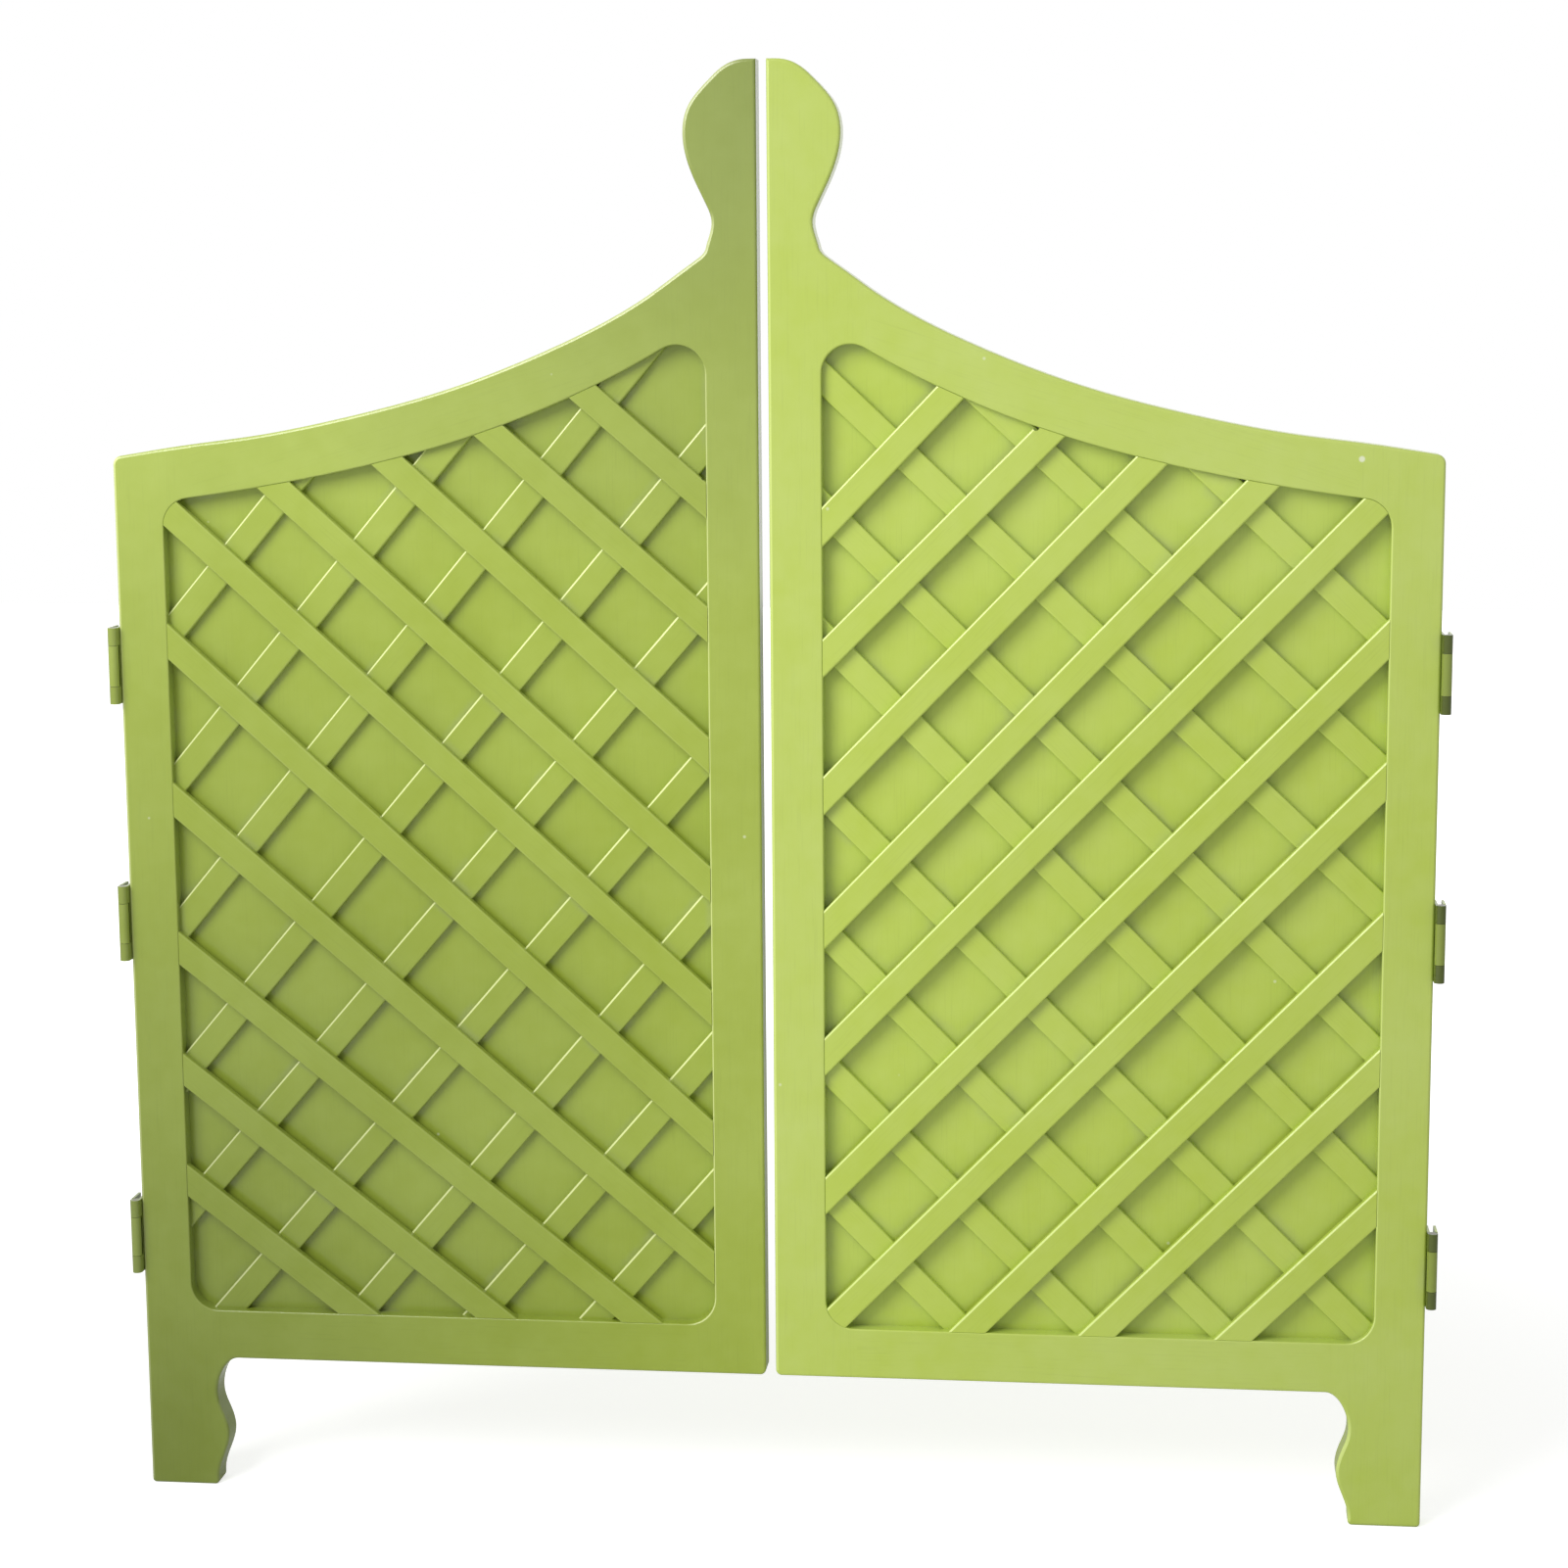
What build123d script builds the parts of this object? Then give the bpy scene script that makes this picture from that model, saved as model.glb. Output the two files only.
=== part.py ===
"""Pair of painted saloon-type door leaves with trellis over a solid back panel.

The two leaves mirror each other. Each one is a flat frame: a hinge stile that runs
down into a scrolled leg, a meeting stile that rises into half a ball finial, a top
rail that sweeps down from the finial to the shoulder, and a straight bottom rail.
The opening holds a back panel and two layers of slats laid by hand.
Three butt hinges on each outer edge carry the leaf.

Axes: +X to the right, +Y to the back, +Z up, millimetres. The origin is on the jamb
side face of the lowest left hinge, midway between its two screws.
A point of a leaf is given as u, its distance from the meeting edge, and v, its
height above the feet.
"""
import os
from build123d import *

os.makedirs("parts", exist_ok=True)

# leaf
LEAF_WIDTH = 640.0
FRAME_THICK = 30.0
MEETING_GAP = 10.0
UNDERSIDE = 136.0
SHOULDER_HEIGHT = 1056.0
MEETING_STILE = 51.0
HINGE_STILE = 49.0
TOP_RAIL = 50.0
BOTTOM_RAIL = 51.0
SHOULDER_ROUND = 9.0
FOOT_ROUND = 4.0
CORNER_ROUND = 6.0
OPENING_ROUND = 28.0
OUTER_ARRIS = 3.0
OPENING_ARRIS = 1.6

# sweep from the shoulder up to the finial's throat
SWEEP_RISE = 186.0
# share of the leaf's width, share of the rise
SWEEP = ((0.156, 0.847), (0.3125, 0.56), (0.469, 0.355), (0.625, 0.212), (0.781, 0.108), (0.9375, 0.035))

# finial above the throat, widths from the meeting edge
FINIAL_HEIGHT = 188.0
BALL_WIDTH = 70.5
NECK_WIDTH = 43.5
THROAT_WIDTH = 60.0
# share of the finial's height down from its top
BALL_LEVEL = 0.378
NECK_LEVEL = 0.819

# leg, widths from the outer edge and heights above the floor
LEG_START = 95.0
LEG_WAIST = 72.0
LEG_WAIST_HEIGHT = 99.0
LEG_BULGE = 83.0
LEG_BULGE_HEIGHT = 54.0
LEG_FOOT = 70.5

# trellis: the first slat of a layer starts so many pitches above the opening's bottom,
# counted at mid width, and each slat has its own drift in pitches and its own angle
SLAT_WIDTH = 27.0
SLAT_THICK = 8.0
SLAT_ARRIS = 2.0
PANEL_THICK = 6.0
REBATE = 8.0
RIGHT_FRONT_PITCH = 135.2
RIGHT_FRONT_START = -1.002
RIGHT_FRONT = ((0, 45.2), (-0.003, 45.8), (-0.021, 46), (0.06, 46), (0.07, 46), (0.118, 46),
               (0.078, 46.2), (0.049, 46), (-0.025, 45), (0.001, 46.2))
RIGHT_REAR_PITCH = 135.8
RIGHT_REAR_START = -1.0
RIGHT_REAR = ((0, 45.5), (-0.022, 45), (-0.033, 45.1), (-0.017, 45), (0.11, 45.3), (0.088, 44.5),
              (0.072, 43.5), (0.022, 43), (0, 43.5))
LEFT_FRONT_PITCH = 126.5
LEFT_FRONT_START = -0.599
LEFT_FRONT = ((0, 38), (-0.117, 38.5), (-0.156, 39), (-0.089, 41), (0.067, 42.5), (0.117, 42.5),
              (0.101, 42.5), (0.115, 42.5), (0.063, 41.5), (0, 41.3))
LEFT_REAR_PITCH = 147.4
LEFT_REAR_START = -1.143
LEFT_REAR = ((0, 49), (-0.064, 49.2), (-0.089, 49.5), (-0.04, 49), (-0.023, 49.1), (-0.025, 49.6),
             (0.033, 50), (0.01, 49.8), (0.002, 49.5))
# corners of front slats that the saw took off, leaving a small hole at the frame: u, v
NICK_DIA = 6.0
RIGHT_NICKS = ((256.0, 1083.0),)
LEFT_NICKS = ((151.0, 1127.0), (53.0, 1036.0))

# hinges
HINGE_HEIGHTS = (265.0, 590.0, 850.0)
HINGE_LENGTH = 76.0
BARREL_DIA = 10.0
PIN_DIA = 5.0
PIN_CLEAR = 0.05
PLATE_THICK = 2.5
PLATE_REACH = 22.0
END_KNUCKLE = 17.5
KNUCKLE_CLEAR = 0.4
KNUCKLE_NOTCH = 1.5
SCREW_DIA = 5.0
SCREW_SPACING = 46.0

# derived
FRONT = -FRAME_THICK / 2
BACK = FRAME_THICK / 2
HALF_SPAN = MEETING_GAP / 2 + LEAF_WIDTH + BARREL_DIA
DATUM = HINGE_HEIGHTS[0]
OPEN_BOTTOM = UNDERSIDE + BOTTOM_RAIL
OPEN_OUTER = LEAF_WIDTH - HINGE_STILE
PANEL_FRONT = FRONT + 2 * SLAT_THICK
PIN_Y = FRONT - BARREL_DIA / 2
THROAT_HEIGHT = SHOULDER_HEIGHT + SWEEP_RISE
TOP = THROAT_HEIGHT + FINIAL_HEIGHT
SWEEP_LINE = [(THROAT_WIDTH, THROAT_HEIGHT)]
SWEEP_LINE += [(share * LEAF_WIDTH, SHOULDER_HEIGHT + rise * SWEEP_RISE) for share, rise in SWEEP]
THROAT_SLOPE = -0.67
SHOULDER_SLOPE = -0.163
# where the four pieces of a frame meet, clear of the opening's rounded corners
BEYOND = FRAME_THICK
MIDDLE = (OPEN_BOTTOM + SHOULDER_HEIGHT) / 2
LOW_JOINT = MEETING_STILE + 1.1 * OPENING_ROUND
APEX_JOINT = MEETING_STILE + 1.7 * OPENING_ROUND
OUTER_JOINT = OPEN_OUTER - 1.1 * OPENING_ROUND
LEG_JOINT = LEAF_WIDTH - LEG_START


def place(side, u, v):
    """Point of a leaf in the X-Z plane: side is 1 for the right leaf, -1 for the left."""
    return (HALF_SPAN + side * (MEETING_GAP / 2 + u), v - DATUM)


def at_depth(y):
    """Sketch plane facing the viewer at depth y."""
    return Plane.XZ.offset(-y)


def outline(side):
    """Outer outline of the frame, from finial to foot, as one face."""
    p = lambda u, v: place(side, u, v)
    down = lambda share: TOP - share * FINIAL_HEIGHT
    crown = 0.113 * BALL_WIDTH
    waist, bulge, foot = LEAF_WIDTH - LEG_WAIST, LEAF_WIDTH - LEG_BULGE, LEAF_WIDTH - LEG_FOOT
    ankle = 0.11 * LEG_BULGE_HEIGHT
    throat = (side, THROAT_SLOPE)
    roll, fall = waist - LEG_JOINT, UNDERSIDE - LEG_WAIST_HEIGHT
    with BuildSketch() as face:
        with BuildLine():
            Polyline(p(crown, TOP), p(0, TOP), p(0, UNDERSIDE), p(LEG_JOINT, UNDERSIDE))
            Bezier(p(LEG_JOINT, UNDERSIDE), p(LEG_JOINT + 0.5 * roll, UNDERSIDE),
                   p(waist, LEG_WAIST_HEIGHT + 0.5 * fall), p(waist, LEG_WAIST_HEIGHT))
            Spline(p(waist, LEG_WAIST_HEIGHT),
                   p(0.52 * waist + 0.48 * bulge - 0.5, 0.5 * (LEG_WAIST_HEIGHT + LEG_BULGE_HEIGHT)),
                   p(bulge, LEG_BULGE_HEIGHT),
                   p(0.42 * bulge + 0.58 * foot, 0.53 * LEG_BULGE_HEIGHT),
                   p(foot, ankle),
                   tangents=((0, -1), (0, -1)))
            Polyline(p(foot, ankle), p(foot, 0), p(LEAF_WIDTH, 0), p(LEAF_WIDTH, SHOULDER_HEIGHT),
                     p(*SWEEP_LINE[-1]))
            Spline(p(crown, TOP),
                   p(0.652 * BALL_WIDTH, down(0.104)),
                   p(0.936 * BALL_WIDTH, down(0.239)),
                   p(BALL_WIDTH, down(BALL_LEVEL)),
                   p(0.887 * BALL_WIDTH, down(0.5 * BALL_LEVEL + 0.452 * NECK_LEVEL)),
                   p(NECK_WIDTH + 0.26 * (BALL_WIDTH - NECK_WIDTH), down(0.851 * NECK_LEVEL)),
                   p(NECK_WIDTH, down(NECK_LEVEL)),
                   p(NECK_WIDTH + 0.3 * (THROAT_WIDTH - NECK_WIDTH), down(0.44 * NECK_LEVEL + 0.56)),
                   p(THROAT_WIDTH, THROAT_HEIGHT),
                   tangents=((side, 0), throat))
            Spline(*[p(u, v) for u, v in SWEEP_LINE],
                   tangents=(throat, (side, SHOULDER_SLOPE)))
        make_face()
        corners = ((0, UNDERSIDE, CORNER_ROUND), (foot, 0, FOOT_ROUND), (LEAF_WIDTH, 0, FOOT_ROUND),
                   (LEAF_WIDTH, SHOULDER_HEIGHT, SHOULDER_ROUND))
        for u, v, radius in corners:
            corner = Vector(*p(u, v), 0)
            fillet(face.vertices().sort_by(lambda vertex: (Vector(*vertex) - corner).length)[0], radius=radius)
    return face.sketch


def opening(side, grow=0.0):
    """Opening of the frame, or the rebate around it when grow is set."""
    p = lambda u, v: place(side, u, v)
    drop = TOP_RAIL - grow
    slopes = [THROAT_SLOPE]
    for (u1, v1), (u2, v2) in zip(SWEEP_LINE, SWEEP_LINE[2:]):
        slopes.append((v2 - v1) / (u2 - u1))
    slopes.append(SHOULDER_SLOPE)
    curve = []
    for (u, v), slope in zip(SWEEP_LINE, slopes):
        run = drop / (1 + slope * slope) ** 0.5
        curve.append((u + slope * run, v - run))
    left, right, low = MEETING_STILE - grow, OPEN_OUTER + grow, OPEN_BOTTOM - grow
    spare = OPENING_ROUND / 2
    start = (left - spare, curve[0][1] - (curve[0][0] - left + spare) * slopes[0])
    end = (right + spare, curve[-1][1] + (right + spare - curve[-1][0]) * slopes[-1])
    curve = [start] + [c for c in curve if left + spare < c[0] < right - spare] + [end]
    with BuildSketch() as face:
        with BuildLine():
            Spline(*[p(u, v) for u, v in curve])
            Polyline(p(*end), p(right + spare, low), p(left - spare, low), p(*start))
        make_face()
        with Locations(p((left + right) / 2, (low + TOP) / 2)):
            Rectangle(right - left, TOP - low, mode=Mode.INTERSECT)
        fillet(face.vertices(), radius=OPENING_ROUND)
    return face.sketch


def frame_ring(side):
    """The whole frame in one solid, with its rebate and rounded arrises."""
    with BuildPart() as ring:
        with BuildSketch(at_depth(FRONT)):
            add(outline(side))
        extrude(amount=-FRAME_THICK)
        rims = ring.faces().sort_by(Axis.Y)[0].edges() + ring.faces().sort_by(Axis.Y)[-1].edges()
        fillet(rims, radius=OUTER_ARRIS)
        with BuildSketch(at_depth(FRONT)):
            add(opening(side))
        extrude(amount=-FRAME_THICK, mode=Mode.SUBTRACT)
        fillet(ring.faces().sort_by(Axis.Y)[0].inner_wires()[0].edges(), radius=OPENING_ARRIS)
        with BuildSketch(at_depth(PANEL_FRONT)):
            add(opening(side, REBATE))
        extrude(amount=-(BACK - PANEL_FRONT), mode=Mode.SUBTRACT)
    return ring.part


def cut(ring, side, label, *zones):
    """Piece of the frame inside one or more zones, each from (u, v) to (u, v)."""
    with BuildPart() as region:
        for low_u, low_v, high_u, high_v in zones:
            x1, z1 = place(side, low_u, low_v)
            x2, z2 = place(side, high_u, high_v)
            with Locations(((x1 + x2) / 2, 0, (z1 + z2) / 2)):
                Box(abs(x2 - x1), 2 * FRAME_THICK, z2 - z1)
    with BuildPart() as piece:
        add(ring)
        add(region.part, mode=Mode.INTERSECT)
    piece.part.label = label
    export_step(piece.part, f"parts/{label}.step")


def slats(side, start, pitch, rows, lean, depth, label, nicks=()):
    """One layer of the trellis: strips with rounded front arrises, cut to the opening."""
    hole = opening(side)
    with BuildPart() as room:
        with BuildSketch(at_depth(depth)):
            add(hole)
            if nicks:
                with Locations(*[place(side, u, v) for u, v in nicks]):
                    Circle(NICK_DIA / 2, mode=Mode.SUBTRACT)
        extrude(amount=-SLAT_THICK)
    smallest = 2 * SLAT_WIDTH ** 2
    pieces = []
    for index in range(int(2 * TOP / pitch)):
        drift, angle = rows[index % len(rows)]
        x, z = place(side, LEAF_WIDTH / 2, OPEN_BOTTOM + (start + index + drift) * pitch)
        turn = side * lean * angle
        with BuildSketch() as strip:
            with Locations((x, z)):
                Rectangle(4 * LEAF_WIDTH, SLAT_WIDTH, rotation=turn)
        trimmed = strip.sketch & hole
        if trimmed is None or trimmed.area < smallest:
            continue
        along = Vector(1, 0, 0).rotate(Axis.Y, -turn)
        across = Vector(0, 0, 1).rotate(Axis.Y, -turn)
        with BuildPart() as slat:
            with BuildSketch(Plane((x, depth + SLAT_THICK / 2, z), x_dir=across, z_dir=along)) as section:
                Rectangle(SLAT_WIDTH, SLAT_THICK)
                fillet(section.vertices().group_by(Axis.Y)[-1], radius=SLAT_ARRIS)
            extrude(amount=2 * LEAF_WIDTH, both=True)
            add(room.part, mode=Mode.INTERSECT)
        pieces.append(slat.part)
    with BuildPart() as layer:
        add(pieces)
    layer.part.label = label
    export_step(layer.part, f"parts/{label}.step")


def panel(side, label):
    """Back panel, let into the rebate."""
    with BuildPart() as board:
        with BuildSketch(at_depth(PANEL_FRONT)):
            add(opening(side, REBATE))
        extrude(amount=-PANEL_THICK)
    board.part.label = label
    export_step(board.part, f"parts/{label}.step")


def hinge(side, height, name):
    """Butt hinge: door plate with the end knuckles, jamb plate with the middle one, pin."""
    z = height - DATUM
    edge_x = place(side, LEAF_WIDTH, 0)[0]
    pin_x = edge_x + side * BARREL_DIA / 2
    jamb_x = edge_x + side * BARREL_DIA
    hole_dia = PIN_DIA + 2 * PIN_CLEAR
    middle = HINGE_LENGTH - 2 * END_KNUCKLE - 2 * KNUCKLE_CLEAR
    reach = PLATE_REACH + BARREL_DIA / 2
    ends = (z - (HINGE_LENGTH - END_KNUCKLE) / 2, z + (HINGE_LENGTH - END_KNUCKLE) / 2)

    with BuildPart() as door_plate:
        with Locations((edge_x + side * PLATE_THICK / 2, PIN_Y + reach / 2, z)):
            Box(PLATE_THICK, reach, HINGE_LENGTH)
        with Locations((pin_x, PIN_Y, z)):
            Cylinder(BARREL_DIA / 2 + KNUCKLE_NOTCH, middle + 2 * KNUCKLE_CLEAR, mode=Mode.SUBTRACT)
        for end in ends:
            with Locations((pin_x, PIN_Y, end)):
                Cylinder(BARREL_DIA / 2, END_KNUCKLE)
        with Locations((pin_x, PIN_Y, z)):
            Cylinder(hole_dia / 2, 2 * HINGE_LENGTH, mode=Mode.SUBTRACT)
    door_plate.part.label = f"{name}_door_plate"
    export_step(door_plate.part, f"parts/{name}_door_plate.step")

    with BuildPart() as jamb_plate:
        with Locations((jamb_x - side * PLATE_THICK / 2, PIN_Y + reach / 2, z)):
            Box(PLATE_THICK, reach, HINGE_LENGTH)
        for end in ends:
            with Locations((pin_x, PIN_Y, end)):
                Cylinder(BARREL_DIA / 2 + KNUCKLE_NOTCH, END_KNUCKLE + 2 * KNUCKLE_CLEAR, mode=Mode.SUBTRACT)
        with Locations((pin_x, PIN_Y, z)):
            Cylinder(BARREL_DIA / 2, middle)
        with Locations((pin_x, PIN_Y, z)):
            Cylinder(PIN_DIA / 2, 2 * HINGE_LENGTH, mode=Mode.SUBTRACT)
        for offset in (-SCREW_SPACING / 2, SCREW_SPACING / 2):
            with Locations(Location((jamb_x, 0, z + offset), (0, 90, 0))):
                Cylinder(SCREW_DIA / 2, 4 * PLATE_THICK, mode=Mode.SUBTRACT)
    jamb_plate.part.label = f"{name}_jamb_plate"
    export_step(jamb_plate.part, f"parts/{name}_jamb_plate.step")

    with BuildPart() as pin:
        with Locations((pin_x, PIN_Y, z)):
            Cylinder(PIN_DIA / 2, HINGE_LENGTH)
    pin.part.label = f"{name}_pin"
    export_step(pin.part, f"parts/{name}_pin.step")


LAYERS = {
    "right": ((RIGHT_FRONT_START, RIGHT_FRONT_PITCH, RIGHT_FRONT), (RIGHT_REAR_START, RIGHT_REAR_PITCH, RIGHT_REAR)),
    "left": ((LEFT_FRONT_START, LEFT_FRONT_PITCH, LEFT_FRONT), (LEFT_REAR_START, LEFT_REAR_PITCH, LEFT_REAR)),
}
NICKS = {"right": RIGHT_NICKS, "left": LEFT_NICKS}

for side, name in ((1, "right"), (-1, "left")):
    ring = frame_ring(side)
    cut(ring, side, f"{name}_meeting_stile",
        (-BEYOND, 0, LOW_JOINT, MIDDLE), (-BEYOND, MIDDLE, APEX_JOINT, TOP + BEYOND))
    cut(ring, side, f"{name}_top_rail", (APEX_JOINT, MIDDLE, OUTER_JOINT, TOP))
    cut(ring, side, f"{name}_bottom_rail", (LOW_JOINT, 0, LEG_JOINT, MIDDLE))
    cut(ring, side, f"{name}_hinge_stile",
        (LEG_JOINT, -BEYOND, LEAF_WIDTH + BEYOND, MIDDLE), (OUTER_JOINT, MIDDLE, LEAF_WIDTH + BEYOND, TOP))
    panel(side, f"{name}_back_panel")
    front, rear = LAYERS[name]
    slats(side, *front, 1, FRONT, f"{name}_front_slats", NICKS[name])
    slats(side, *rear, -1, FRONT + SLAT_THICK, f"{name}_rear_slats")
    for height, level in zip(HINGE_HEIGHTS, ("low", "middle", "high")):
        hinge(side, height, f"{name}_{level}")
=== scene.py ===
# %% [markdown]
# # A pair of painted trellis door leaves
# Two mirror-image leaves meet in the middle like saloon doors. Each is a plain frame with
# a swept top rail, half a ball finial and a scrolled leg, filled by two layers of slats
# over a solid panel. The wood and the hinges arrive as exact solids, so the work left
# here is what a painter and a fitter did: brushed gloss paint, screws, pins and wear,
# together with light and shade painted into the colour. The frame is loaded first,
# because the places used below are read from it.
# %% Load the frame
import math
import bpy
import numpy as np
from mathutils import Matrix, Vector


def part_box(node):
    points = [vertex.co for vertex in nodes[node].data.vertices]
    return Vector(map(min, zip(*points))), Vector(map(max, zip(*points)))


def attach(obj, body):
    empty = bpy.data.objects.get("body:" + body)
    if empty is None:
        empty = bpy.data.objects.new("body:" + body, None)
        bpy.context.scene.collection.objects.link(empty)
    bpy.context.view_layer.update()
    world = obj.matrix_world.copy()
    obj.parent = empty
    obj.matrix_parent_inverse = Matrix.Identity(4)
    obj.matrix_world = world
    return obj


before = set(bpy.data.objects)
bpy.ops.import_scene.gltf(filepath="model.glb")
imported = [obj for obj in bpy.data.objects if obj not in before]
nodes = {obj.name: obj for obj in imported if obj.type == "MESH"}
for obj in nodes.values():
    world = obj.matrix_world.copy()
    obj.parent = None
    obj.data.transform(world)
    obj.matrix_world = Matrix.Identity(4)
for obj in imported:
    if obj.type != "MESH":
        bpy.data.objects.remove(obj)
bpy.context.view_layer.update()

# %% [markdown]
# ## Named sizes
# A few places are read from the solids: the floor under the legs, the plane of the
# frame's front, the middle of the pair and the top of the finials. The camera, the lamp,
# the chip in the paint and the painted shade and light are placed from these.
# %% Read the main places
MM = 0.001
stile_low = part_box("left_hinge_stile")[0]
FLOOR = stile_low.z
FRONT = stile_low.y
MIDDLE = (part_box("left_meeting_stile")[1].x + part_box("right_meeting_stile")[0].x) / 2
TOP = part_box("left_meeting_stile")[1].z
SIDES = ("left", "right")
LEVELS = ("low", "middle", "high")
print(f"floor {FLOOR:.3f}, middle {MIDDLE:.3f}, top {TOP:.3f}, front {FRONT:.3f}")

# %% [markdown]
# ## The camera
# The photograph was taken from a little to the right of the middle, not far below the
# finials, and looks slightly down and to the left. A camera can be placed by hand until
# corners agree, but here it was solved from matching corners: where it stands, how it is
# turned and how long the lens is. The turns are multiplied in the order a photographer
# makes them: pan, tilt, then the small lean of the hand.
# %% Place the camera
CAMERA_PLACE = Vector((MIDDLE + 0.369, -3.071, FLOOR + 1.219))
PAN, TILT, LEAN = math.radians(6.56), math.radians(-8.89), math.radians(-0.41)
SENSOR = 36.0
FOCAL_PIXELS, FRAME_PIXELS = 3260.0, 1601.0

camera_data = bpy.data.cameras.new("camera")
camera_data.sensor_width = SENSOR
camera_data.sensor_fit = "HORIZONTAL"
camera_data.lens = SENSOR * FOCAL_PIXELS / FRAME_PIXELS
camera = bpy.data.objects.new("camera", camera_data)
turn = (Matrix.Rotation(PAN, 4, "Z") @ Matrix.Rotation(math.pi / 2 + TILT, 4, "X")
        @ Matrix.Rotation(LEAN, 4, "Z"))
camera.matrix_world = Matrix.Translation(CAMERA_PLACE) @ turn
bpy.context.scene.collection.objects.link(camera)
bpy.context.scene.camera = camera
print("lens", round(camera_data.lens, 1), "mm")


# %% [markdown]
# ## Mesh and node helpers
# Each new piece is one surface worked out on a grid of two parameters, so a single helper
# turns a block of points into a mesh. Materials are wired often, so a second helper adds
# a node and sets its inputs in one line, which keeps each recipe readable.
# %% Helpers
def grid_faces(rows, columns, closed):
    """Quads between neighbours of a rows x columns grid, joined round the columns if closed."""
    row = np.arange(rows - 1)[:, None]
    column = np.arange(columns if closed else columns - 1)[None, :]
    following = (column + 1) % columns
    corners = (row * columns + column, row * columns + following,
               (row + 1) * columns + following, (row + 1) * columns + column)
    return np.stack(np.broadcast_arrays(*corners), axis=-1).reshape(-1, 4)


def mesh_piece(name, points, faces, material, smooth=True):
    """An object whose mesh holds these points and faces, at the origin, with one material."""
    mesh = bpy.data.meshes.new(name)
    mesh.from_pydata(points.tolist(), [], [list(map(int, face)) for face in faces])
    mesh.polygons.foreach_set("use_smooth", np.full(len(mesh.polygons), smooth))
    mesh.materials.append(material)
    mesh.update()
    piece = bpy.data.objects.new(name, mesh)
    bpy.context.scene.collection.objects.link(piece)
    return piece


def add_node(tree, kind, inputs=None, **settings):
    """A node of this kind; inputs may be values or sockets to be linked."""
    node = tree.nodes.new(kind)
    for key, value in settings.items():
        setattr(node, key, value)
    for key, value in (inputs or {}).items():
        if isinstance(value, bpy.types.NodeSocket):
            tree.links.new(value, node.inputs[key])
        else:
            node.inputs[key].default_value = value
    return node


def new_group(name, inputs, outputs):
    """An empty shader group; each socket is (name, kind, default value)."""
    tree = bpy.data.node_groups.new(name, "ShaderNodeTree")
    for label, kind, value in inputs:
        socket = tree.interface.new_socket(label, in_out="INPUT", socket_type=kind)
        socket.default_value = value
    for label, kind in outputs:
        tree.interface.new_socket(label, in_out="OUTPUT", socket_type=kind)
    return tree, tree.nodes.new("NodeGroupInput"), tree.nodes.new("NodeGroupOutput")


# %% [markdown]
# ## Brush marks
# Gloss paint laid on by hand keeps the strokes of the brush: long fine ridges that run
# along each piece of wood. A picture of strokes would repeat, so a noise is stretched
# instead: its points are turned to the piece's own direction and squeezed along it. A
# second, wider noise makes the ends of the strokes fade in and out.
# %% Group: brush marks
ALONG_STROKE = (0.03, 1, 1)


def brush_marks_group():
    """Tone = fine noise of the turned point, squeezed along the stroke; Height = Tone where
    the wide noise lets the stroke show, and 0 where it has faded."""
    tree, given, result = new_group(
        "brush marks",
        [("Lean", "NodeSocketVector", (0, 0, 0)), ("Fineness", "NodeSocketFloat", 700.0)],
        [("Height", "NodeSocketFloat"), ("Tone", "NodeSocketFloat")])
    place = add_node(tree, "ShaderNodeTexCoord")
    turned = add_node(tree, "ShaderNodeMapping", {"Vector": place.outputs["Object"],
                                                  "Rotation": given.outputs["Lean"]})
    squeezed = add_node(tree, "ShaderNodeVectorMath", {0: turned.outputs["Vector"], 1: ALONG_STROKE},
                        operation="MULTIPLY")
    fine = add_node(tree, "ShaderNodeTexNoise", {"Vector": squeezed.outputs["Vector"],
                                                 "Scale": given.outputs["Fineness"], "Detail": 3.0,
                                                 "Roughness": 0.55})
    wide = add_node(tree, "ShaderNodeTexNoise", {"Vector": turned.outputs["Vector"], "Scale": 9.0,
                                                 "Detail": 2.0})
    fade = add_node(tree, "ShaderNodeMapRange", {"Value": wide.outputs["Fac"], "From Min": 0.38,
                                                 "From Max": 0.62})
    height = add_node(tree, "ShaderNodeMath", {0: fine.outputs["Fac"], 1: fade.outputs["Result"]},
                      operation="MULTIPLY")
    tree.links.new(height.outputs["Value"], result.inputs["Height"])
    tree.links.new(fine.outputs["Fac"], result.inputs["Tone"])
    return tree


BRUSH_MARKS = brush_marks_group()
print("group:", BRUSH_MARKS.name)


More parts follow.
